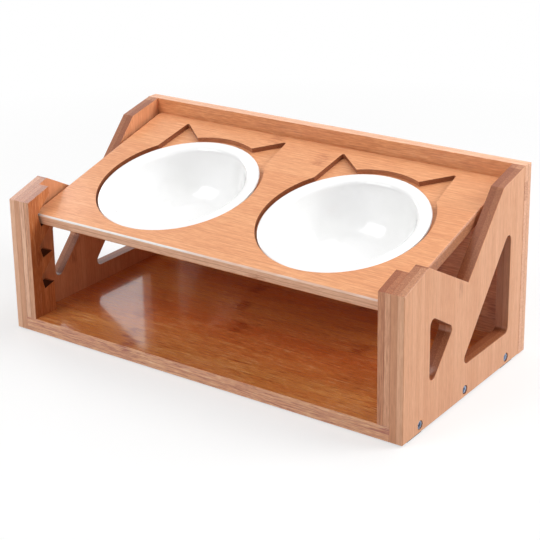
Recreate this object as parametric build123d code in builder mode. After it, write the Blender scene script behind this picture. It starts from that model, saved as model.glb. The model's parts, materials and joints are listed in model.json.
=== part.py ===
"""Raised double cat bowl: a bamboo stand, a sloping board in notched racks, and two ceramic bowls."""

import os
from math import cos, pi, radians, sin, tan

from build123d import *

# Sizes are in millimetres. X runs across the stand, Y from the front to the back, Z up.
# The origin is on the floor under the middle of the stand.

# Stand
stand_width = 400.0
panel_depth = 194.0
panel_thickness = 11.7
back_thickness = 11.5
shelf_thickness = 12.4
pad_thickness = 1.5
outer_edge_round = 0.7

# Side panel outline, as setback from the front edge and height above the panel's foot
front_height = 121.5
peak_setback = 36.4
peak_height = 132.8
valley_setback = 99.9
valley_height = 98.8
shoulder_setback = 156.3
rear_height = 169.1
shoulder_drop = 8.7

# Windows in the side panel, each side of a window parallel to the panel edge beside it
front_window_setback = 39.9
front_window_top = 91.7
front_window_reach = 77.0
front_window_reach_height = 69.6
front_window_foot = 29.0
rear_window_setback = 90.6
rear_window_foot = 28.7
rear_post_width = 21.5
rear_window_top = 124.8
window_corner = 5.0

# Sloping board
board_slope = 15.3
board_thickness = 11.0
board_side_gap = 3.3
board_setback = 13.1
board_front_height = 107.3
board_rear_gap = 1.0
board_corner = 4.0
board_edge_round = 2.0
seat_gap = 0.3

# Cat head recess and bowl hole in the board
bowl_spacing = 173.0
recess_forward = 5.75
recess_radius = 75.5
recess_depth = 4.7
hole_radius = 66.5
ear_tip_radius = 105.3
ear_tip_angle = 32.3
ear_inner_angle = 24.1
ear_outer_angle = 52.5
ear_tip_round = 1.5

# Bowl, which has slid down the slope to the front of its recess
rim_radius = 72.7
rim_front_gap = 0.3
rim_sunk = 0.9
rim_width = 12.0
rim_fall = 1.0
rim_round = 1.6
bowl_height = 50.0
bowl_wall = 4.0
bowl_floor_radius = 34.0
bowl_hole_clearance = 0.5
foot_ring_width = 4.0
foot_ring_height = 2.0
foot_round = 0.8

# Directions of the bowl's curves where they start and end, outwards and upwards
inner_lip_slope = (-0.35, -1.0)
inner_floor_slope = (-1.0, -0.08)
outer_foot_slope = (1.0, 0.35)
outer_lip_slope = (0.2, 1.0)

# Notched rack on the inside of each side panel
rack_thickness = 11.0
rack_depth = 26.3
notch_count = 3
notch_pitch = 29.4
notch_front_clearance = 2.0
notch_top_clearance = 0.9
notch_lip_angle = 46.0
notch_overcut = 1.0

# Rear rail that carries the back of the board
rail_depth = 26.0
rail_height = 11.0

# Socket head bolts and threaded inserts
bolt_radius = 2.0
bolt_length = 19.0
bolt_head_radius = 3.5
bolt_head_height = 4.0
bolt_head_sunk = 0.4
bolt_clearance = 0.25
counterbore_clearance = 0.35
socket_across_flats = 3.0
socket_depth = 2.2
insert_radius = 3.2
insert_length = 12.0
insert_clearance = 0.05
side_bolt_setbacks = (26.5, 98.5, 170.5)
back_bolt_heights = (32.0, 140.0)

# Wooden dowels
dowel_radius = 3.0
dowel_length = 20.0
dowel_in_face = 8.0
dowel_clearance = 0.05
dowel_end_gap = 0.5
shelf_dowel_setbacks = (62.5, 134.5)
rail_dowel_places = (-130.0, 0.0, 130.0)
rack_dowel_radius = 2.0
rack_dowel_length = 13.0
rack_dowel_setback = 5.5
rack_dowel_heights = (34.0, 92.0)

# Anti-slip pads under the side panels
pad_width = 9.0
pad_length = 24.0
pad_corner = 2.0
pad_inset = 8.0

# Places worked out from the sizes above
front_y = -(panel_depth + back_thickness) / 2
wood_z = pad_thickness
inner_x = stand_width / 2 - panel_thickness
rack_x = inner_x - rack_thickness
panel_middle = inner_x + panel_thickness / 2
counterbore_depth = bolt_head_sunk + bolt_head_height
insert_hole_radius = insert_radius + insert_clearance
dowel_in_end = dowel_length - dowel_in_face
dowel_long_hole = dowel_in_end + dowel_end_gap
dowel_short_hole = dowel_in_face + dowel_end_gap
rack_dowel_hole = rack_dowel_length / 2 + dowel_end_gap
slope = radians(board_slope)
slope_rise = tan(slope)
rear_y = front_y + panel_depth
sides = {"left": -1, "right": 1}

shoulder_height = rear_height - shoulder_drop
rear_window_reach = panel_depth - rear_post_width
board_width = 2 * (inner_x - board_side_gap)
board_reach = panel_depth - board_rear_gap - board_setback
recess_setback = board_reach / cos(slope) / 2 - recess_forward

board_plane = Plane(
    origin=(0, front_y + board_setback, wood_z + board_front_height),
    x_dir=(1, 0, 0),
    z_dir=(0, -sin(slope), cos(slope)),
)
board_normal = Axis(board_plane.origin, board_plane.z_dir)


def across(x, setback=0.0, height=0.0):
    """Plane square to X: its own x is the setback from the front and its own y the height."""
    return Plane(
        origin=(x, front_y + setback, wood_z + height), x_dir=(0, 1, 0), z_dir=(1, 0, 0)
    )


def sideways(x, facing, setback, height):
    """Plane square to X that faces +X or -X."""
    place = (x, front_y + setback, wood_z + height)
    return Plane(origin=place, x_dir=(0, 1, 0), z_dir=(facing, 0, 0))


def underside(setback):
    """Height of the board's underside above the panel's foot at a setback from the front."""
    drop = board_thickness / cos(slope)
    return board_front_height + (setback - board_setback) * slope_rise - drop


def notch_points(level):
    """Corners of a notch, from its mouth's lower lip round to its mouth's upper lip."""
    lower = -level * notch_pitch
    along = (cos(slope), sin(slope))
    normal = (-sin(slope), cos(slope))

    def place(forward, up):
        y = board_setback - forward * along[0] + up * normal[0]
        z = board_front_height + lower - forward * along[1] + up * normal[1]
        return y, z

    floor_y, floor_z = place(notch_front_clearance, -board_thickness - seat_gap)
    roof_y, roof_z = place(notch_front_clearance, notch_top_clearance)
    mouth = rack_depth + notch_overcut
    return [
        (mouth, floor_z + (mouth - floor_y) * slope_rise),
        (floor_y, floor_z),
        (roof_y, roof_z),
        (mouth, roof_z + (mouth - roof_y) * tan(radians(notch_lip_angle))),
    ]


def rack_top(setback):
    """Height of the sloping front top edge of a side panel."""
    return front_height + (peak_height - front_height) * setback / peak_setback


def save(piece, name):
    """Label a finished piece and write its file."""
    piece.part.label = name
    os.makedirs("parts", exist_ok=True)
    export_step(piece.part, f"parts/{name}.step")


def rear_facing(x, y, height):
    """Plane square to Y that looks towards the back, at a height above the panel's foot."""
    return Plane(origin=(x, y, wood_z + height), x_dir=(-1, 0, 0), z_dir=(0, 1, 0))


def disc(place, radius):
    """A round face on the place plane."""
    with BuildSketch(place) as round_face:
        Circle(radius)
    return round_face.sketch


def add_bolt(seat):
    """Add a socket head bolt whose head rests on the seat plane and points out of it."""
    extrude(disc(seat, bolt_head_radius), amount=bolt_head_height)
    extrude(disc(seat, bolt_radius), amount=-bolt_length)
    with BuildSketch(seat.offset(bolt_head_height)) as socket:
        RegularPolygon(socket_across_flats / 2, 6, major_radius=False)
    extrude(socket.sketch, amount=-socket_depth, mode=Mode.SUBTRACT)


def add_insert(mouth):
    """Add a threaded insert sunk from the mouth plane, bored to clear the bolt."""
    extrude(disc(mouth, insert_radius), amount=-insert_length)
    extrude(disc(mouth, bolt_radius + insert_clearance), amount=-insert_length, mode=Mode.SUBTRACT)


def add_rod(end, radius, length):
    """Add a plain round rod that starts at the end plane and runs along its normal."""
    extrude(disc(end, radius), amount=length)


def drill(mouth, radius, depth):
    """Cut a round hole that runs from the mouth plane against its normal."""
    extrude(disc(mouth, radius), amount=-depth, mode=Mode.SUBTRACT)


def ear_outline(middle, side_sign):
    """Draw one pointed ear of a recess, from inside the circle out to its rounded tip."""

    def point(radius, angle):
        turned = radians(angle)
        return middle + side_sign * radius * sin(turned), recess_setback + radius * cos(turned)

    tip = point(ear_tip_radius, ear_tip_angle)
    inner = point(recess_radius, ear_inner_angle)
    outer = point(recess_radius, ear_outer_angle)
    root = point(recess_radius / 2, ear_tip_angle)
    FilletPolyline(root, inner, tip, outer, radius=(0, ear_tip_round), close=False)
    Polyline(outer, root)


# Side panels
for side, sign in sides.items():
    with BuildPart() as side_panel:
        with BuildSketch(across(sign * inner_x)):
            with BuildLine():
                Polyline(
                    (0, 0),
                    (0, front_height),
                    (peak_setback, peak_height),
                    (valley_setback, valley_height),
                    (shoulder_setback, shoulder_height),
                    (panel_depth, rear_height),
                    (panel_depth, 0),
                    close=True,
                )
            make_face()
        extrude(amount=sign * panel_thickness)
        with BuildSketch(across(sign * inner_x)):
            with BuildLine():
                FilletPolyline(
                    (front_window_setback, front_window_foot),
                    (front_window_setback, front_window_top),
                    (front_window_reach, front_window_reach_height),
                    radius=window_corner,
                    close=True,
                )
            make_face()
            with BuildLine():
                FilletPolyline(
                    (rear_window_setback, rear_window_foot),
                    (rear_window_reach, rear_window_top),
                    (rear_window_reach, rear_window_foot),
                    radius=window_corner,
                    close=True,
                )
            make_face()
        extrude(amount=sign * panel_thickness, mode=Mode.SUBTRACT)
        outer_face = side_panel.faces().sort_by(Axis.X)[-1 if sign > 0 else 0]
        fillet(outer_face.edges(), radius=outer_edge_round)
        for setback in side_bolt_setbacks:
            mouth = sideways(sign * stand_width / 2, sign, setback, shelf_thickness / 2)
            drill(mouth, bolt_radius + bolt_clearance, panel_thickness)
            drill(mouth, bolt_head_radius + counterbore_clearance, counterbore_depth)
        for setback in shelf_dowel_setbacks:
            mouth = sideways(sign * inner_x, -sign, setback, shelf_thickness / 2)
            drill(mouth, dowel_radius + dowel_clearance, dowel_short_hole)
        for height in rack_dowel_heights:
            mouth = sideways(sign * inner_x, -sign, rack_dowel_setback, height)
            drill(mouth, rack_dowel_radius + dowel_clearance, rack_dowel_hole)
        for height in back_bolt_heights:
            drill(rear_facing(sign * panel_middle, rear_y, height), insert_hole_radius, insert_length)
    save(side_panel, f"side_panel_{side}")

# Notched racks, glued and dowelled to the side panels and standing on the shelf
for side, sign in sides.items():
    with BuildPart() as rack:
        with BuildSketch(across(sign * rack_x)):
            with BuildLine():
                Polyline(
                    (0, shelf_thickness),
                    (0, front_height),
                    (rack_depth, rack_top(rack_depth)),
                    (rack_depth, shelf_thickness),
                    close=True,
                )
            make_face()
            for level in range(notch_count):
                with BuildLine():
                    Polyline(*notch_points(level), close=True)
                make_face(mode=Mode.SUBTRACT)
        extrude(amount=sign * rack_thickness)
        for height in rack_dowel_heights:
            mouth = sideways(sign * inner_x, sign, rack_dowel_setback, height)
            drill(mouth, rack_dowel_radius + dowel_clearance, rack_dowel_hole)
    save(rack, f"notched_rack_{side}")

    with BuildPart() as rack_dowels:
        start = sign * (inner_x - rack_dowel_length / 2)
        for height in rack_dowel_heights:
            end = sideways(start, sign, rack_dowel_setback, height)
            add_rod(end, rack_dowel_radius, rack_dowel_length)
    save(rack_dowels, f"rack_dowels_{side}")

# Shelf between the side panels
with BuildPart() as shelf:
    with BuildSketch(Plane.XY.offset(wood_z)):
        with Locations((0, front_y + panel_depth / 2)):
            Rectangle(2 * inner_x, panel_depth)
    extrude(amount=shelf_thickness)
    for sign in sides.values():
        for setback in side_bolt_setbacks:
            mouth = sideways(sign * inner_x, sign, setback, shelf_thickness / 2)
            drill(mouth, insert_hole_radius, insert_length)
        for setback in shelf_dowel_setbacks:
            mouth = sideways(sign * inner_x, sign, setback, shelf_thickness / 2)
            drill(mouth, dowel_radius + dowel_clearance, dowel_long_hole)
save(shelf, "shelf")

# Rear rail under the back of the board, which the back panel carries on dowels
rail_setback = panel_depth - rail_depth
rail_foot = underside(rail_setback) - seat_gap - rail_height
rail_middle = rail_foot + rail_height / 2

# Back panel across the rear edges of the side panels and the shelf
with BuildPart() as back_panel:
    with BuildSketch(rear_facing(0, rear_y, rear_height / 2)):
        Rectangle(stand_width, rear_height)
    extrude(amount=back_thickness)
    rear_face = back_panel.faces().sort_by(Axis.Y)[-1]
    fillet(rear_face.edges(), radius=outer_edge_round)
    for sign in sides.values():
        for height in back_bolt_heights:
            mouth = rear_facing(sign * panel_middle, rear_y + back_thickness, height)
            drill(mouth, bolt_radius + bolt_clearance, back_thickness)
            drill(mouth, bolt_head_radius + counterbore_clearance, counterbore_depth)
    for x in rail_dowel_places:
        bottom = rear_facing(x, rear_y + dowel_short_hole, rail_middle)
        drill(bottom, dowel_radius + dowel_clearance, dowel_short_hole)
save(back_panel, "back_panel")

# The rear rail itself, its top planed to the board's slope
with BuildPart() as rear_rail:
    with BuildSketch(across(-inner_x)):
        with BuildLine():
            Polyline(
                (rail_setback, rail_foot),
                (panel_depth, rail_foot),
                (panel_depth, underside(panel_depth) - seat_gap),
                (rail_setback, underside(rail_setback) - seat_gap),
                close=True,
            )
        make_face()
    extrude(amount=2 * inner_x)
    for x in rail_dowel_places:
        drill(rear_facing(x, rear_y, rail_middle), dowel_radius + dowel_clearance, dowel_long_hole)
save(rear_rail, "rear_rail")

with BuildPart() as rail_dowels:
    for x in rail_dowel_places:
        add_rod(rear_facing(x, rear_y - dowel_in_end, rail_middle), dowel_radius, dowel_length)
save(rail_dowels, "rail_dowels")

# Bolts, inserts and dowels that join the side panels to the shelf
for side, sign in sides.items():
    with BuildPart() as side_bolts:
        head_seat = sign * (stand_width / 2 - counterbore_depth)
        for setback in side_bolt_setbacks:
            add_bolt(sideways(head_seat, sign, setback, shelf_thickness / 2))
    save(side_bolts, f"side_bolts_{side}")

    with BuildPart() as side_inserts:
        for setback in side_bolt_setbacks:
            add_insert(sideways(sign * inner_x, sign, setback, shelf_thickness / 2))
    save(side_inserts, f"side_inserts_{side}")

    with BuildPart() as shelf_dowels:
        start = sign * (inner_x - dowel_in_end)
        for setback in shelf_dowel_setbacks:
            end = sideways(start, sign, setback, shelf_thickness / 2)
            add_rod(end, dowel_radius, dowel_length)
    save(shelf_dowels, f"shelf_dowels_{side}")

# Bolts and inserts that join the back panel to the side panels
with BuildPart() as back_bolts:
    for sign in sides.values():
        for height in back_bolt_heights:
            head_seat = rear_y + back_thickness - counterbore_depth
            add_bolt(rear_facing(sign * panel_middle, head_seat, height))
save(back_bolts, "back_bolts")

with BuildPart() as back_inserts:
    for sign in sides.values():
        for height in back_bolt_heights:
            add_insert(rear_facing(sign * panel_middle, rear_y, height))
save(back_inserts, "back_inserts")

# Sloping board with two cat head recesses, each with a hole for its bowl
with BuildPart() as tilt_board:
    with BuildSketch(across(-board_width / 2, board_setback, board_front_height)):
        with BuildLine():
            Polyline(
                (0, 0),
                (board_thickness * sin(slope), -board_thickness * cos(slope)),
                (board_reach, board_reach * slope_rise - board_thickness / cos(slope)),
                (board_reach, board_reach * slope_rise),
                close=True,
            )
        make_face()
    extrude(amount=board_width)
    normal_edges = tilt_board.edges().filter_by(board_normal)
    rear_edges = tilt_board.edges().filter_by(Axis.Z)
    fillet(normal_edges + rear_edges, radius=board_corner)
    broad_faces = tilt_board.faces().filter_by(board_normal)
    fillet(broad_faces.edges(), radius=board_edge_round)
    for sign in sides.values():
        with BuildSketch(board_plane):
            with Locations((sign * bowl_spacing / 2, recess_setback)):
                Circle(recess_radius)
            for ear in sides.values():
                with BuildLine():
                    ear_outline(sign * bowl_spacing / 2, ear)
                make_face()
        extrude(amount=-recess_depth, mode=Mode.SUBTRACT)
        with BuildSketch(board_plane):
            with Locations((sign * bowl_spacing / 2, recess_setback)):
                Circle(hole_radius)
        extrude(amount=-board_thickness, mode=Mode.SUBTRACT)
save(tilt_board, "tilt_board")

# Bowl heights are measured from the board's top surface
bowl_slide = recess_radius - rim_radius - rim_front_gap
bowl_setback = recess_setback - bowl_slide
rim_top = -rim_sunk
rim_under = seat_gap - recess_depth
rim_inner_radius = rim_radius - rim_width
bowl_floor = rim_top - bowl_height + foot_ring_height + bowl_wall
base_level = rim_top - bowl_height
foot_level = base_level + foot_ring_height
body_radius = hole_radius - bowl_slide - bowl_hole_clearance
foot_outer_radius = bowl_floor_radius + bowl_wall
foot_inner_radius = foot_outer_radius - foot_ring_width


def circles(solid, radius):
    """The round edges of a turned solid that have this radius."""
    return solid.edges().filter_by(lambda edge: abs(edge.length - 2 * pi * radius) < 0.01)


# Bowls, each turned about the line square to the board through its middle
for side, sign in sides.items():
    centre = board_plane.from_local_coords((sign * bowl_spacing / 2, bowl_setback, 0))
    half_section = Plane(origin=centre, x_dir=(1, 0, 0), z_dir=-board_plane.y_dir)
    with BuildPart() as bowl:
        with BuildSketch(half_section):
            with BuildLine():
                Spline(
                    (rim_inner_radius, rim_top - rim_fall),
                    (bowl_floor_radius, bowl_floor),
                    tangents=(inner_lip_slope, inner_floor_slope),
                )
                Polyline(
                    (bowl_floor_radius, bowl_floor),
                    (0, bowl_floor),
                    (0, foot_level),
                    (foot_inner_radius, foot_level),
                    (foot_inner_radius, base_level),
                    (foot_outer_radius, base_level),
                )
                Spline(
                    (foot_outer_radius, base_level),
                    (body_radius, rim_under),
                    tangents=(outer_foot_slope, outer_lip_slope),
                )
                Polyline(
                    (body_radius, rim_under),
                    (rim_radius, rim_under),
                    (rim_radius, rim_top),
                    (rim_inner_radius, rim_top - rim_fall),
                )
            make_face()
        revolve(axis=Axis(centre, board_plane.z_dir))
        fillet(circles(bowl, rim_radius) + circles(bowl, rim_inner_radius), radius=rim_round)
        fillet(circles(bowl, foot_outer_radius), radius=foot_round)
    save(bowl, f"bowl_{side}")

# Anti-slip pads under the ends of the side panels
pad_reach = pad_inset + pad_length / 2
for side, sign in sides.items():
    for end, pad_y in (("front", front_y + pad_reach), ("rear", rear_y - pad_reach)):
        with BuildPart() as pad:
            with BuildSketch(Plane.XY):
                with Locations((sign * panel_middle, pad_y)):
                    RectangleRounded(pad_width, pad_length, pad_corner)
            extrude(amount=pad_thickness)
        save(pad, f"foot_pad_{end}_{side}")
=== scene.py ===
"""The raised double cat bowl as it looks: bamboo, white glaze, zinc plate and rubber."""

import json
from math import asin, cos, pi, radians, sin, tau

import bmesh
import bpy
from mathutils import Matrix, Vector


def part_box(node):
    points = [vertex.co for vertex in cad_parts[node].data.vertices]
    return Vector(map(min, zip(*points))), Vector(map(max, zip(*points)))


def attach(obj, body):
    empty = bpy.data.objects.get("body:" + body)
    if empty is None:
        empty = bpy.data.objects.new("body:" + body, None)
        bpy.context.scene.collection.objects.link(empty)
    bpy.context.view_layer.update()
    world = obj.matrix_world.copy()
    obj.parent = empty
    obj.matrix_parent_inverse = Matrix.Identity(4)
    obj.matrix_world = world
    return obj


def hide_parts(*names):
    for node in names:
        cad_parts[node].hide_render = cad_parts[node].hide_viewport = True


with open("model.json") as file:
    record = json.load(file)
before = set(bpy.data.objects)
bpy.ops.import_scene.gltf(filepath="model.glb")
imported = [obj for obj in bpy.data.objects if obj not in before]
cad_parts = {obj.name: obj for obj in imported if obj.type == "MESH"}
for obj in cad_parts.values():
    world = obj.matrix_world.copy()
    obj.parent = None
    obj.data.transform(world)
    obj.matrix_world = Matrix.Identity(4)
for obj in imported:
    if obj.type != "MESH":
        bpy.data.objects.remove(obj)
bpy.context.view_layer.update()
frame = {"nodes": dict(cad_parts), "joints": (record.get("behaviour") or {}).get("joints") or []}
MM = 0.001

joints = {joint["name"]: joint for joint in frame["joints"]}
BOARD_NORMAL = Vector(joints["bowl_left_lift"]["axis"]).normalized()
ACROSS = Vector((1, 0, 0))
UP_SLOPE = BOARD_NORMAL.cross(ACROSS)
BOARD_SLOPE = asin(-BOARD_NORMAL.y)

# Camera, fitted to the photograph
CAMERA_PLACE = Vector((0.7049, -0.9763, 0.5546))
CAMERA_AZIMUTH = radians(35.52)
CAMERA_ELEVATION = radians(18.29)
CAMERA_ROLL = radians(-0.905)
SENSOR_WIDTH = 36
CAMERA_LENS = 99.67
CAMERA_SHIFT_Y = -100 / 540


def add_camera():
    """The camera at the photograph's place and angle."""
    forward = Vector((
        -sin(CAMERA_AZIMUTH) * cos(CAMERA_ELEVATION),
        cos(CAMERA_AZIMUTH) * cos(CAMERA_ELEVATION),
        -sin(CAMERA_ELEVATION),
    ))
    level = Vector((cos(CAMERA_AZIMUTH), sin(CAMERA_AZIMUTH), 0))
    above = level.cross(forward)
    right = level * cos(CAMERA_ROLL) + above * sin(CAMERA_ROLL)
    up = right.cross(forward)
    data = bpy.data.cameras.new("camera")
    data.sensor_width = SENSOR_WIDTH
    data.lens = CAMERA_LENS
    data.shift_y = CAMERA_SHIFT_Y
    data.clip_start = 0.05
    camera = bpy.data.objects.new("camera", data)
    turn = Matrix((right, up, -forward)).transposed()
    camera.matrix_world = Matrix.Translation(CAMERA_PLACE) @ turn.to_4x4()
    bpy.context.scene.collection.objects.link(camera)
    bpy.context.scene.camera = camera


# Colours

def linear(red, green, blue):
    """A colour given as 0 to 255 screen values, as the linear values that shaders take."""
    def channel(value):
        value /= 255
        return value / 12.92 if value <= 0.04045 else ((value + 0.055) / 1.055) ** 2.4
    return channel(red), channel(green), channel(blue), 1.0


def toned(colour, *shares):
    """A colour with each channel times its share."""
    return tuple(channel * share for channel, share in zip(colour, shares)) + (1.0,)


# Tones of bamboo
PALE = linear(242, 178, 130)
HONEY = linear(224, 150, 102)
PALE_FIBRE = linear(252, 214, 170)
SANDED = linear(255, 204, 170)
# The colour of a painted highlight along the board's rounded front edge, in place of a lamp's
# reflection
PAINTED_EDGE_HIGHLIGHT = linear(255, 250, 246)
# The darker ply's tone: darker wood on its edges, and painted shade on its broad face toward the
# middle
INNER_PLY_TONE_AND_SHADE = (0.76, 0.62, 0.53, 1.0)

# Shares of a bamboo's dark tone: its fibres, seams and marks, and the pores of its end grain
DEEP = (0.55, 0.38, 0.30)
PORES = (0.42, 0.34, 0.34)

# Laminated bamboo: its number of plies, how far the laths shift from ply to ply in laths, how
# much of a ply an outer face stays clear of the glue lines, and the half width of a lath's seam
PLIES = 2
LATH_SHIFT = 0.37
CLEAR_OF_GLUE = 0.2
SEAM = 0.25 * MM

# Nodes of the cane: how far apart they are, and where a mark is full and where it ends
NODE_PITCH = 0.26
MARK_FULL = 1.5 * MM
MARK_END = 11 * MM

# Cut walls get painted shade this far inside a piece's outline
CUT_SHADE_MARGIN = 1.5 * MM


# Material building blocks

class Nodes:
    """A short way to write shader nodes: most calls add nodes and return the last output."""

    def __init__(self, name):
        self.material = bpy.data.materials.new(name)
        self.material.use_nodes = True
        self.tree = self.material.node_tree
        self.tree.nodes.clear()
        self.shader = self.add("ShaderNodeBsdfPrincipled")
        output = self.add("ShaderNodeOutputMaterial")
        self.tree.links.new(self.shader.outputs["BSDF"], output.inputs["Surface"])

    def add(self, kind, **settings):
        made = self.tree.nodes.new(kind)
        for key, value in settings.items():
            setattr(made, key, value)
        return made

    def feed(self, socket, value):
        if isinstance(value, bpy.types.NodeSocket):
            self.tree.links.new(value, socket)
        else:
            socket.default_value = value

    def math(self, operation, first, second=0.0, third=0.0):
        made = self.add("ShaderNodeMath", operation=operation)
        for socket, value in zip(made.inputs, (first, second, third)):
            self.feed(socket, value)
        return made.outputs[0]

    def off(self, value, middle):
        """How far a value is from a middle, on either side."""
        return self.math("ABSOLUTE", self.math("SUBTRACT", value, middle))

    def ranged(self, value, low, high, to_low=0.0, to_high=1.0, smooth=False):
        kind = "SMOOTHSTEP" if smooth else "LINEAR"
        made = self.add("ShaderNodeMapRange", interpolation_type=kind)
        for socket, item in zip(made.inputs, (value, low, high, to_low, to_high)):
            self.feed(socket, item)
        return made.outputs[0]

    def vector(self, x, y, z):
        made = self.add("ShaderNodeCombineXYZ")
        for socket, value in zip(made.inputs, (x, y, z)):
            self.feed(socket, value)
        return made.outputs[0]

    def noise(self, place, scale=1.0, detail=2.0, roughness=0.5):
        made = self.add("ShaderNodeTexNoise")
        self.feed(made.inputs["Vector"], place)
        self.feed(made.inputs["Scale"], scale)
        self.feed(made.inputs["Detail"], detail)
        self.feed(made.inputs["Roughness"], roughness)
        return made.outputs["Fac"]

    def random(self, place):
        made = self.add("ShaderNodeTexWhiteNoise")
        self.feed(made.inputs["Vector"], place)
        return made.outputs["Value"]

    def mix(self, factor, first, second, blend="MIX"):
        made = self.add("ShaderNodeMix", data_type="RGBA", blend_type=blend)
        for name, value in (("Factor_Float", factor), ("A_Color", first), ("B_Color", second)):
            socket = next(item for item in made.inputs if item.identifier == name)
            self.feed(socket, value)
        return next(item for item in made.outputs if item.identifier == "Result_Color")

    def bump(self, height, distance, strength=1.0):
        made = self.add("ShaderNodeBump")
        self.feed(made.inputs["Height"], height)
        made.inputs["Distance"].default_value = distance
        made.inputs["Strength"].default_value = strength
        self.tree.links.new(made.outputs["Normal"], self.shader.inputs["Normal"])

    def set(self, **values):
        """Feeds the shader's sockets, whose names have underscores here for their spaces."""
        for name, value in values.items():
            self.feed(self.shader.inputs[name.replace("_", " ")], value)


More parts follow.
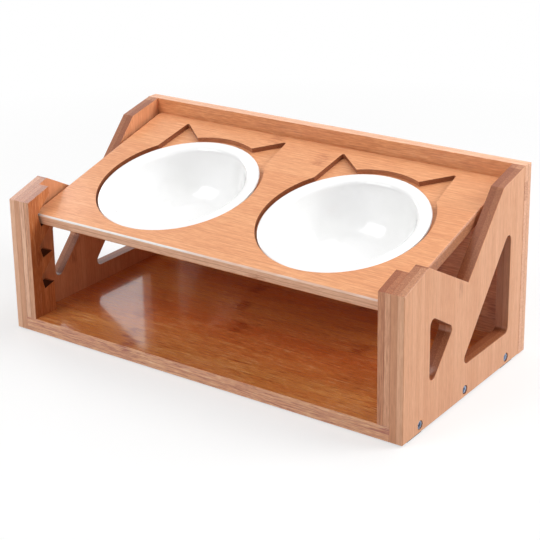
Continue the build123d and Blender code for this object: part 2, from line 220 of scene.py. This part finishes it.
def bamboo(name, grain, width, light, dark, start, thickness, strip=20 * MM, slope=0.0,
           seed=0.0, contrast=1.0, figure=1.0, marks=0.4, mark_tone=0.55, end_grain=0.85,
           edge_tone=0.0, dark_and_shaded_ply=None, joints=(), cut_shade=None, highlight_edge=None,
           rough=0.40, shine=0.3, coat=0.3, coat_ior=1.5):
    """Laminated bamboo: plies of laths with their own tone, fine fibres along the grain,
    a few node marks, and darker speckled end grain.

    grain and width name the axes along and across the laths. The plies start at start on the
    third axis and are thickness deep together; slope turns them about X. strip is a lath's
    width and seed picks the pattern.

    contrast sets how far the laths differ, figure how strong the fibres are, marks the share
    of laths with node marks and mark_tone their darkness. end_grain and edge_tone are how far
    the end grain and the sanded pale edges take over. dark_and_shaded_ply is the ply of darker
    wood, whose broad face also gets painted shade.
    joints are places, each an axis and a value, where a dark line shows beside the next piece.
    cut_shade is the piece's outline along and across the grain and the tone of the painted shade
    on the walls cut inside it. A painted highlight lies on the rounded edge that faces
    highlight_edge.
    """
    n = Nodes(name)
    coordinates = n.add("ShaderNodeTexCoord")
    place = coordinates.outputs["Object"]
    if slope:
        turned = n.add("ShaderNodeMapping")
        turned.inputs["Rotation"].default_value = (-slope, 0, 0)
        n.feed(turned.inputs["Vector"], place)
        place = turned.outputs["Vector"]
    parts = n.add("ShaderNodeSeparateXYZ")
    n.feed(parts.inputs[0], place)
    along = n.math("ADD", parts.outputs[grain], 2.0 + seed)
    over = n.math("ADD", parts.outputs[width], 2.0 + seed)
    third = ({"X", "Y", "Z"} - {grain, width}).pop()
    through = parts.outputs[third]

    # Plies and laths
    depth = n.math("DIVIDE", n.math("SUBTRACT", through, start), thickness / PLIES)
    depth = n.math("MINIMUM", n.math("MAXIMUM", depth, CLEAR_OF_GLUE), PLIES - CLEAR_OF_GLUE)
    ply = n.math("FLOOR", depth)
    shift = n.math("MULTIPLY", ply, LATH_SHIFT)
    shifted = n.math("ADD", n.math("DIVIDE", over, strip), shift)
    lath = n.math("FLOOR", shifted)
    tone = n.random(n.vector(lath, ply, seed))
    other = n.random(n.vector(lath, ply, seed + 7.3))
    chance = n.random(n.vector(ply, lath, seed + 3.1))

    # Fibres: long thin streaks and short dashes, shifted from lath to lath
    slide = n.math("MULTIPLY", tone, 5.0)
    wander = n.noise(n.vector(n.math("MULTIPLY", along, 25.0), lath, ply))
    wander = n.math("MULTIPLY", wander, 1.2)

    def fibres(lengthwise, crosswise, detail):
        return n.noise(n.vector(
            n.math("ADD", n.math("MULTIPLY", along, lengthwise), slide),
            n.math("ADD", n.math("MULTIPLY", over, crosswise), wander),
            n.math("MULTIPLY", through, crosswise)), 1.0, detail, 0.6)

    streaks = fibres(20.0, 800.0, 3.0)
    dashes = fibres(110.0, 1100.0, 2.0)
    cloud = fibres(7.0, 40.0, 2.0)
    fibre = n.math("ADD", n.math("MULTIPLY", streaks, 0.5), n.math("MULTIPLY", dashes, 0.5))

    # Node marks: on some laths, a short band of dark dashes across the grain
    phase = n.math("FRACT", n.math("ADD", n.math("DIVIDE", along, NODE_PITCH), other))
    away = n.math("MULTIPLY", n.off(phase, 0.5), NODE_PITCH)
    band = n.ranged(away, MARK_FULL, MARK_END, 1.0, 0.0, smooth=True)
    dots = n.ranged(dashes, 0.44, 0.54, 0.25, 1.0)
    shown = n.math("LESS_THAN", chance, marks)
    mark = n.math("MULTIPLY", n.math("MULTIPLY", band, dots), shown)

    # Dark lines between laths and between plies
    seam = n.off(n.math("FRACT", shifted), 0.5)
    seam = n.ranged(seam, 0.5 - SEAM / strip, 0.5, 0.0, 1.0)
    glue = n.off(n.math("FRACT", n.math("ADD", depth, 0.5)), 0.5)
    glue = n.ranged(glue, 0.1 * MM / (thickness / PLIES), 0.5 * MM / (thickness / PLIES), 1.0, 0.0)

    # Which way the surface faces: along the grain is end grain, along the third axis a board's
    # broad face
    facing = n.add("ShaderNodeSeparateXYZ")
    n.feed(facing.inputs[0], coordinates.outputs["Normal"])
    end = n.ranged(n.math("ABSOLUTE", facing.outputs[grain]), 0.35, 0.75, smooth=True)
    broad = n.math("ABSOLUTE", facing.outputs[third])
    speckle = n.noise(place, 900.0, 3.0, 0.8)

    deep = toned(dark, *DEEP)
    base = n.mix(n.ranged(tone, 0, 1, 0.5 - 0.4 * contrast, 0.5 + 0.4 * contrast), light, dark)
    base = n.mix(n.ranged(cloud, 0.35, 0.65, 0.0, 0.35 * contrast), base, dark)
    if edge_tone:
        base = n.mix(n.ranged(broad, 0.3, 0.6, edge_tone, 0.0), base, SANDED)
    base = n.mix(n.ranged(fibre, 0.42, 0.66, 0.0, 0.55 * figure), base, deep)
    base = n.mix(n.ranged(fibre, 0.46, 0.34, 0.0, 0.30 * figure), base, PALE_FIBRE)
    base = n.mix(n.math("MULTIPLY", mark, mark_tone), base, deep)
    line = n.math("MAXIMUM", seam, glue)
    base = n.mix(n.math("MULTIPLY", line, 0.55 * contrast), base, deep)
    between = tuple(0.72 * channel + 0.01 for channel in dark[:3]) + (1.0,)
    cut = n.mix(n.ranged(speckle, 0.42, 0.62), toned(dark, *PORES), between)
    base = n.mix(n.math("MULTIPLY", end, end_grain), base, cut)
    # The darker ply: darker wood where its edges show, and painted shade on its broad face toward
    # the object's middle
    if dark_and_shaded_ply is not None:
        inner = n.math("MULTIPLY", n.math("COMPARE", ply, float(dark_and_shaded_ply), 0.5),
                       n.ranged(broad, 0.3, 0.7, 0.8, 0.3))
        base = n.mix(inner, base, INNER_PLY_TONE_AND_SHADE, "MULTIPLY")
    # Painted shade: walls cut inside the outline, in recesses, windows and notches, are darkened
    # as if shade fell on them
    if cut_shade:
        low, high, shade = cut_shade
        inside = n.ranged(broad, 0.3, 0.6, 1.0, 0.0)
        for k, axis in enumerate((grain, width)):
            within = n.math("COMPARE", parts.outputs[axis], (low[k] + high[k]) / 2,
                            (high[k] - low[k]) / 2 - CUT_SHADE_MARGIN)
            inside = n.math("MULTIPLY", inside, within)
        base = n.mix(inside, base, shade, "MULTIPLY")
    for axis, value in joints:
        beside = n.off(parts.outputs[axis], value)
        base = n.mix(n.ranged(beside, 0.1 * MM, 0.7 * MM, 0.75, 0.0), base, deep)
    # Painted highlight: the rounded edge facing the given direction is made pale, as a lamp's
    # reflection in its lacquer would make it
    if highlight_edge:
        toward = n.add("ShaderNodeVectorMath", operation="DOT_PRODUCT")
        n.feed(toward.inputs[0], coordinates.outputs["Normal"])
        toward.inputs[1].default_value = highlight_edge
        painted_highlight = n.ranged(toward.outputs["Value"], 0.84, 0.93, 0.0, 1.0, smooth=True)
        painted_highlight = n.math("MULTIPLY", painted_highlight, n.ranged(cloud, 0.40, 0.60, 0.25, 1.0))
        base = n.mix(painted_highlight, base, PAINTED_EDGE_HIGHLIGHT)

    n.set(Base_Color=base, Roughness=n.ranged(fibre, 0.3, 0.7, rough - 0.04, rough + 0.08),
          Specular_IOR_Level=shine, Coat_Weight=coat, Coat_Roughness=0.10, Coat_IOR=coat_ior)
    n.bump(fibre, 0.05 * MM, 0.5)
    return n.material


def glaze():
    """White glaze over stoneware: glossy, very slightly uneven."""
    n = Nodes("white_glaze")
    place = n.add("ShaderNodeTexCoord").outputs["Object"]
    cloud = n.noise(place, 18.0, 3.0, 0.5)
    base = n.mix(n.ranged(cloud, 0.35, 0.65), linear(251, 251, 251), linear(247, 247, 246))
    n.set(Base_Color=base, Roughness=n.ranged(n.noise(place, 60.0), 0.3, 0.7, 0.10, 0.16),
          Coat_Weight=0.5, Coat_Roughness=0.05)
    n.bump(n.noise(place, 35.0, 2.0), 0.15 * MM, 0.25)
    return n.material


def plated_steel():
    """Bright zinc plate, slightly blue, with fine turning marks."""
    n = Nodes("zinc_plate")
    place = n.add("ShaderNodeTexCoord").outputs["Object"]
    cloud = n.noise(place, 400.0, 3.0)
    base = n.mix(n.ranged(cloud, 0.3, 0.7), linear(52, 60, 78), linear(168, 184, 210))
    n.set(Base_Color=base, Roughness=n.ranged(cloud, 0.3, 0.7, 0.22, 0.36), Metallic=1.0)
    n.bump(n.noise(place, 2500.0, 2.0), 0.02 * MM, 0.4)
    return n.material


def brass():
    """Turned brass of the threaded inserts."""
    n = Nodes("insert_brass")
    place = n.add("ShaderNodeTexCoord").outputs["Object"]
    cloud = n.noise(place, 300.0, 3.0)
    base = n.mix(n.ranged(cloud, 0.3, 0.7), linear(196, 160, 84), linear(220, 190, 118))
    n.set(Base_Color=base, Roughness=n.ranged(cloud, 0.3, 0.7, 0.25, 0.4), Metallic=1.0)
    n.bump(n.noise(place, 2000.0), 0.03 * MM, 0.5)
    return n.material


def rubber():
    """Dark matte rubber of the pads."""
    n = Nodes("pad_rubber")
    place = n.add("ShaderNodeTexCoord").outputs["Object"]
    grainy = n.noise(place, 1800.0, 3.0)
    base = n.mix(n.ranged(grainy, 0.3, 0.7), linear(30, 30, 32), linear(44, 44, 46))
    n.set(Base_Color=base, Roughness=n.ranged(grainy, 0.3, 0.7, 0.7, 0.85))
    n.bump(grainy, 0.08 * MM, 0.6)
    return n.material


# Bowls

def circle(turn):
    """A ring's reach for its radius, at an angle round the axis."""
    return 1.0


def hexagon(turn):
    """A hexagon whose half width across flats is the radius."""
    return 1 / cos(turn % (pi / 3) - pi / 6)


def knurl(turn):
    """Fine straight knurling that stays inside the radius."""
    return 0.985 + 0.015 * cos(KNURL_RIDGES * turn)


def lathe(name, rings, x_dir, y_dir, z_dir, segments):
    """A closed turned mesh about the origin. Each ring is a radius, a height and a shape."""
    mesh = bmesh.new()
    loops = []
    for radius, height, shape in rings:
        loop = []
        for step in range(segments):
            turn = tau * step / segments
            reach = radius * shape(turn)
            spot = x_dir * reach * cos(turn) + y_dir * reach * sin(turn) + z_dir * height
            loop.append(mesh.verts.new(spot))
        loops.append(loop)
    for lower, upper in zip(loops, loops[1:]):
        for step in range(segments):
            after = (step + 1) % segments
            mesh.faces.new((lower[step], lower[after], upper[after], upper[step]))
    for loop, ring in ((loops[0], rings[0]), (loops[-1], rings[-1])):
        middle = mesh.verts.new(z_dir * ring[1])
        for step in range(segments):
            mesh.faces.new((loop[step], loop[(step + 1) % segments], middle))
    bmesh.ops.recalc_face_normals(mesh, faces=mesh.faces)
    data = bpy.data.meshes.new(name)
    mesh.to_mesh(data)
    mesh.free()
    for face in data.polygons:
        face.use_smooth = True
    data.set_sharp_from_angle(angle=radians(40))
    piece = bpy.data.objects.new(name, data)
    bpy.context.scene.collection.objects.link(piece)
    return piece


def bezier(start, pull_start, pull_end, end, count):
    """Points along a curve from start to end, without the start itself."""
    points = []
    for step in range(1, count + 1):
        t = step / count
        weights = ((1 - t) ** 3, 3 * t * (1 - t) ** 2, 3 * t * t * (1 - t), t ** 3)
        corners = (start, pull_start, pull_end, end)
        points.append(tuple(sum(w * c[k] for w, c in zip(weights, corners)) for k in (0, 1)))
    return points


# Bowl section in millimetres: radius and height above the board's top surface
RIM_RADIUS = 72.7
RIM_TOP = -0.9
RIM_INNER = 60.7
RIM_UNDER = -4.4
BODY_RADIUS = 63.5
BASE = -50.9
FOOT_OUTER = 38.0
FOOT_INNER = 34.0
FOOT_RING = 2.0
FLOOR = -44.9
FLOOR_RADIUS = 34.0
BOWL_SEGMENTS = 160


def bowl_section():
    """The bowl's outline from the middle of its underside, round the rim, to its floor."""
    under = BASE + FOOT_RING
    points = [(1.0, under), (FOOT_INNER - 0.8, under)]
    points += bezier(points[-1], (FOOT_INNER - 0.2, under), (FOOT_INNER, under - 0.4),
                     (FOOT_INNER, under - 0.9), 4)
    points += bezier(points[-1], (FOOT_INNER, BASE), (FOOT_INNER + 0.5, BASE),
                     (FOOT_INNER + 1.4, BASE), 5)
    points += bezier((FOOT_OUTER - 1.4, BASE), (FOOT_OUTER - 0.3, BASE),
                     (FOOT_OUTER, BASE + 0.4), (FOOT_OUTER + 0.5, BASE + 1.2), 5)
    points += bezier(points[-1], (BODY_RADIUS - 12, BASE + 8), (BODY_RADIUS - 2.5, -27),
                     (BODY_RADIUS - 0.3, RIM_UNDER - 1.0), 26)
    points += bezier(points[-1], (BODY_RADIUS, RIM_UNDER - 0.2), (BODY_RADIUS + 0.2, RIM_UNDER),
                     (BODY_RADIUS + 1.2, RIM_UNDER), 4)
    points += [(RIM_RADIUS - 2.2, RIM_UNDER)]
    points += bezier(points[-1], (RIM_RADIUS - 0.6, RIM_UNDER), (RIM_RADIUS, RIM_UNDER + 0.6),
                     (RIM_RADIUS, RIM_UNDER + 1.7), 7)
    points += bezier(points[-1], (RIM_RADIUS, RIM_TOP - 0.5), (RIM_RADIUS - 0.7, RIM_TOP),
                     (RIM_RADIUS - 2.4, RIM_TOP), 9)
    points += bezier(points[-1], (RIM_RADIUS - 5.5, RIM_TOP - 0.1),
                     (RIM_INNER + 3.5, RIM_TOP - 0.2), (RIM_INNER + 1.8, RIM_TOP - 0.7), 8)
    points += bezier(points[-1], (RIM_INNER + 0.6, RIM_TOP - 1.1),
                     (RIM_INNER - 0.2, RIM_TOP - 2.0), (RIM_INNER - 0.9, RIM_TOP - 3.8), 8)
    points += bezier(points[-1], (RIM_INNER - 6.0, -22), (FLOOR_RADIUS + 15, FLOOR + 4.5),
                     (FLOOR_RADIUS, FLOOR + 0.4), 28)
    points += bezier(points[-1], (FLOOR_RADIUS - 5, FLOOR), (FLOOR_RADIUS - 14, FLOOR),
                     (1.0, FLOOR), 14)
    return [(radius * MM, height * MM, circle) for radius, height in points]


def add_bowl(side):
    """A bowl turned from its section and set on the middle of the CAD bowl."""
    low, high = (Vector(corner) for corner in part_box(f"bowl_{side}"))
    piece = lathe(f"glazed_bowl_{side}", bowl_section(), ACROSS, UP_SLOPE, BOARD_NORMAL,
                  BOWL_SEGMENTS)
    spots = [vertex.co for vertex in piece.data.vertices]
    made_low = Vector([min(spot[k] for spot in spots) for k in range(3)])
    made_high = Vector([max(spot[k] for spot in spots) for k in range(3)])
    piece.data.transform(Matrix.Translation((low + high - made_low - made_high) / 2))
    piece.data.materials.append(GLAZE)
    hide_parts(f"bowl_{side}")
    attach(piece, f"{side}_bowl")


# Socket head bolts in millimetres: radius and height above the seat under the head
KNURL_RIDGES = 24
HEAD_RADIUS = 3.5
HEAD_HEIGHT = 4.0
SHANK_RADIUS = 2.0
SHANK_LENGTH = 19.0
SOCKET_HALF_WIDTH = 1.5
SOCKET_DEPTH = 2.0
BOLT_SEGMENTS = 96


def bolt_section():
    """The bolt's rings from its tip to the bottom of its hexagon socket."""
    top = HEAD_HEIGHT
    rings = [
        (1.2, -SHANK_LENGTH, circle),
        (SHANK_RADIUS, 0.8 - SHANK_LENGTH, circle),
        (SHANK_RADIUS, 0.0, circle),
        (HEAD_RADIUS - 0.3, 0.0, circle),
        (HEAD_RADIUS, 0.3, knurl),
        (HEAD_RADIUS, top - 0.6, knurl),
        (HEAD_RADIUS - 0.15, top - 0.25, circle),
        (HEAD_RADIUS - 0.5, top, circle),
        (SOCKET_HALF_WIDTH + 0.5, top, circle),
        (SOCKET_HALF_WIDTH + 0.2, top - 0.05, hexagon),
        (SOCKET_HALF_WIDTH, top - 0.3, hexagon),
        (SOCKET_HALF_WIDTH, top - SOCKET_DEPTH, hexagon),
    ]
    return [(radius * MM, height * MM, shape) for radius, height, shape in rings]


def add_bolts(node, out, columns, rows):
    """Bolts that stand for a CAD node's: out points from shank to head, and columns and rows
    are how many there are along the two other axes."""
    low, high = (Vector(corner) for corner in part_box(node))
    axis = next(k for k in range(3) if out[k])
    others = [k for k in range(3) if k != axis]
    seat = (high[axis] if out[axis] > 0 else low[axis]) - out[axis] * HEAD_HEIGHT * MM
    inset = HEAD_RADIUS * MM
    first = Vector([0.0, 0.0, 0.0])
    first[others[0]] = 1.0
    second = out.cross(first)
    for column in range(columns):
        for row in range(rows):
            place = Vector([0.0, 0.0, 0.0])
            place[axis] = seat
            for k, count, step in ((others[0], columns, column), (others[1], rows, row)):
                share = step / (count - 1) if count > 1 else 0.5
                place[k] = low[k] + inset + share * (high[k] - low[k] - 2 * inset)
            piece = lathe(f"{node}_{column}{row}", bolt_section(), first, second, out,
                          BOLT_SEGMENTS)
            piece.data.transform(Matrix.Translation(place))
            piece.data.materials.append(PLATE)
            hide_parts(node)
            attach(piece, "stand")


# The stage

FLOOR_SIZE = 6.0
FLOOR_SEEN = linear(250, 250, 250)
FLOOR_BOUNCE = linear(190, 190, 190)

# The floor glows where it is seen, so that it runs into the white background: less in the
# object's shadow, within the near distance from the middle, and fully past the far one
FLOOR_GLOW = 0.6
GLOW_NEAR = 0.25
GLOW_FAR = 0.9

# Soft lamps: name, place, size and power. All look at the same point.
LAMP_TARGET = Vector((0, 0, 0.1))
WORLD_LEVEL = 0.04
LAMPS = (
    ("key", (0.30, 0.45, 1.50), 1.0, 10.5),
    ("right_rear", (1.15, 0.60, 0.90), 0.8, 14.5),
    ("right_front", (1.05, -0.95, 1.15), 1.4, 4.0),
    ("front_left", (-0.66, -1.20, 1.08), 1.1, 15.0),
    ("window", (-1.30, 0.40, 0.88), 0.5, 3.5),
)


def add_floor():
    """A plain pale floor that keeps the object's shadow."""
    mesh = bmesh.new()
    bmesh.ops.create_grid(mesh, x_segments=1, y_segments=1, size=FLOOR_SIZE)
    data = bpy.data.meshes.new("floor")
    mesh.to_mesh(data)
    mesh.free()
    floor = bpy.data.objects.new("floor", data)
    bpy.context.scene.collection.objects.link(floor)
    data.materials.append(FLOOR_WHITE)


def floor_white():
    """White where it is seen, and grey where it only bounces light."""
    n = Nodes("floor_white")
    path = n.add("ShaderNodeLightPath").outputs
    seen = n.math("MAXIMUM", path["Is Camera Ray"], path["Is Glossy Ray"])
    n.set(Base_Color=n.mix(seen, FLOOR_BOUNCE, FLOOR_SEEN), Roughness=0.9,
          Specular_IOR_Level=0.0)
    glow = n.add("ShaderNodeEmission")
    glow.inputs["Color"].default_value = (1.0, 1.0, 1.0, 1.0)
    both = n.add("ShaderNodeMixShader")
    place = n.add("ShaderNodeTexCoord").outputs["Object"]
    away = n.add("ShaderNodeVectorMath", operation="LENGTH")
    n.feed(away.inputs[0], place)
    glowing = n.ranged(away.outputs["Value"], GLOW_NEAR, GLOW_FAR, FLOOR_GLOW, 1.0)
    n.feed(both.inputs[0], n.math("MULTIPLY", seen, glowing))
    n.tree.links.new(n.shader.outputs["BSDF"], both.inputs[1])
    n.tree.links.new(glow.outputs["Emission"], both.inputs[2])
    output = next(node for node in n.tree.nodes if node.type == "OUTPUT_MATERIAL")
    n.tree.links.new(both.outputs[0], output.inputs["Surface"])
    return n.material


def add_lamp(name, place, size, power):
    """A square soft lamp."""
    data = bpy.data.lights.new(name, "AREA")
    data.shape = "SQUARE"
    data.size = size
    data.energy = power
    lamp = bpy.data.objects.new(name, data)
    lamp.location = place
    lamp.rotation_mode = "QUATERNION"
    lamp.rotation_quaternion = (LAMP_TARGET - Vector(place)).to_track_quat("-Z", "Y")
    bpy.context.scene.collection.objects.link(lamp)


def add_world(level):
    """White all round: full strength where it is seen, and a soft level where it lights."""
    world = bpy.data.worlds.new("studio")
    world.use_nodes = True
    tree = world.node_tree
    tree.nodes.clear()
    path = tree.nodes.new("ShaderNodeLightPath")
    seen = path.outputs["Is Camera Ray"]
    for ray in ("Is Glossy Ray", "Is Transmission Ray"):
        either = tree.nodes.new("ShaderNodeMath")
        either.operation = "MAXIMUM"
        tree.links.new(seen, either.inputs[0])
        tree.links.new(path.outputs[ray], either.inputs[1])
        seen = either.outputs[0]
    strength = tree.nodes.new("ShaderNodeMapRange")
    strength.inputs["To Min"].default_value = level
    strength.inputs["To Max"].default_value = 1.0
    tree.links.new(seen, strength.inputs["Value"])
    back = tree.nodes.new("ShaderNodeBackground")
    back.inputs["Color"].default_value = (1.0, 1.0, 1.0, 1.0)
    tree.links.new(strength.outputs[0], back.inputs["Strength"])
    output = tree.nodes.new("ShaderNodeOutputWorld")
    tree.links.new(back.outputs[0], output.inputs["Surface"])
    bpy.context.scene.world = world


# Wood on the CAD pieces

# How far the board's rounded front edge, which carries a painted highlight, leans forward from
# square to the board, and the tones of the painted shade on walls cut inside an outline
HIGHLIGHT_EDGE_TURN = radians(42)
BOARD_CUT_SHADE = (0.50, 0.36, 0.28, 1.0)
PANEL_CUT_SHADE = (0.70, 0.55, 0.46, 1.0)
RACK_NOTCH_SHADE = (0.22, 0.14, 0.10, 1.0)

# The painted shade of cut walls starts this far behind a panel's front, and this far under a
# rack's top
PANEL_FRONT = 33 * MM
RACK_TOP = 12 * MM

# Widths of the laths
NARROW_LATH = 6 * MM
BACK_LATH = 16 * MM
ONE_LATH = 30 * MM


def dress(material, *nodes):
    """Gives CAD nodes a material in place of their own."""
    for name in nodes:
        for slot in frame["nodes"][name].material_slots:
            slot.material = material


def plies(node, axis):
    """Where a flat board's plies start on an axis, and how thick they are together."""
    low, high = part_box(node)
    return {"start": low[axis], "thickness": high[axis] - low[axis]}


def shaded_cuts_inside(node, front, top, shade):
    """The part of an upright piece where its cut walls are darkened with painted shade, from a
    distance behind its front to a distance under its top, with the shade's tone."""
    low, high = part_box(node)
    return (low[2], low[1] + front), (high[2] - top, high[1]), shade


def ends(node, *axes):
    """Joint lines at both ends of a piece along each axis."""
    return [(axis, corner["XYZ".index(axis)]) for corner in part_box(node) for axis in axes]


def dress_board():
    """The sloping board: its plies, and the outline round its recesses, lie along the slope."""
    spots = [vertex.co for vertex in frame["nodes"]["tilt_board"].data.vertices]
    heights = [spot.dot(BOARD_NORMAL) for spot in spots]
    depths = [spot.dot(UP_SLOPE) for spot in spots]
    low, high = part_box("tilt_board")
    turn = BOARD_SLOPE + HIGHLIGHT_EDGE_TURN
    dress(bamboo(
        "bamboo_board", "X", "Y", PALE, HONEY, min(heights), max(heights) - min(heights),
        slope=BOARD_SLOPE, seed=0.3, marks=0.5, contrast=0.7, figure=0.8, coat=0.15,
        edge_tone=0.85, highlight_edge=(0, -sin(turn), cos(turn)),
        cut_shade=((low[0], min(depths)), (high[0], max(depths)), BOARD_CUT_SHADE)), "tilt_board")


def dress_upright(side, seed, inner, panel_edge, rack_edge):
    """A side panel and its rack. inner is their darker ply, the one toward the object's middle,
    whose broad face also gets painted shade, and the last two tell how pale their sanded edges
    are."""
    panel, rack = f"side_panel_{side}", f"notched_rack_{side}"
    dress(bamboo(
        f"bamboo_panel_{side}", "Z", "Y", linear(248, 186, 142), linear(228, 158, 112),
        strip=NARROW_LATH, seed=seed, marks=0.12, contrast=0.6, figure=0.6, dark_and_shaded_ply=inner,
        edge_tone=panel_edge, cut_shade=shaded_cuts_inside(panel, PANEL_FRONT, 0, PANEL_CUT_SHADE),
        joints=[("Y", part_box(panel)[1][1])], **plies(panel, 0)), panel)
    dress(bamboo(
        f"bamboo_rack_{side}", "Z", "Y", linear(230, 150, 92), linear(204, 120, 68),
        strip=NARROW_LATH, seed=seed + 2.6, marks=0.2, dark_and_shaded_ply=inner,
        edge_tone=rack_edge, cut_shade=shaded_cuts_inside(rack, 0, RACK_TOP, RACK_NOTCH_SHADE),
        joints=[("X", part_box(rack)[1 - inner][0])], **plies(rack, 0)), rack)


# The object and its stage

GLAZE = glaze()
PLATE = plated_steel()
FLOOR_WHITE = floor_white()

dress_board()
dress(bamboo(
    "bamboo_shelf", "X", "Y", linear(255, 184, 102), linear(230, 122, 56), seed=1.7,
    marks=0.8, mark_tone=1.0, rough=0.26, shine=0.4, coat=1.0, coat_ior=1.8, figure=1.8,
    edge_tone=0.3, joints=ends("shelf", "X"), **plies("shelf", 2)), "shelf")
dress(bamboo(
    "bamboo_back", "X", "Z", linear(241, 173, 121), linear(226, 146, 94), strip=BACK_LATH,
    seed=2.5, end_grain=0.0, edge_tone=0.6, **plies("back_panel", 1)), "back_panel")
dress(bamboo("bamboo_rail", "X", "Y", PALE, HONEY, seed=3.1, **plies("rear_rail", 2)), "rear_rail")
dress_upright("left", 4.2, 1, 0.9, 1.0)
dress_upright("right", 5.9, 0, 0.5, 0.6)
for node in ("shelf_dowels_left", "shelf_dowels_right", "rack_dowels_left", "rack_dowels_right",
             "rail_dowels"):
    dress(bamboo(f"wood_{node}", "X", "Y", linear(232, 204, 160), linear(214, 180, 132),
                 strip=ONE_LATH, marks=0.0, contrast=0.4, **plies(node, 2)), node)
dress(brass(), "side_inserts_left", "side_inserts_right", "back_inserts")
dress(rubber(), "foot_pad_front_left", "foot_pad_front_right", "foot_pad_rear_left",
      "foot_pad_rear_right")

for side in ("left", "right"):
    add_bowl(side)
add_bolts("side_bolts_left", Vector((-1, 0, 0)), 3, 1)
add_bolts("side_bolts_right", Vector((1, 0, 0)), 3, 1)
add_bolts("back_bolts", Vector((0, 1, 0)), 2, 2)

add_floor()
add_world(WORLD_LEVEL)
for lamp in LAMPS:
    add_lamp(*lamp)
add_camera()
bpy.context.scene.view_settings.view_transform = "Standard"
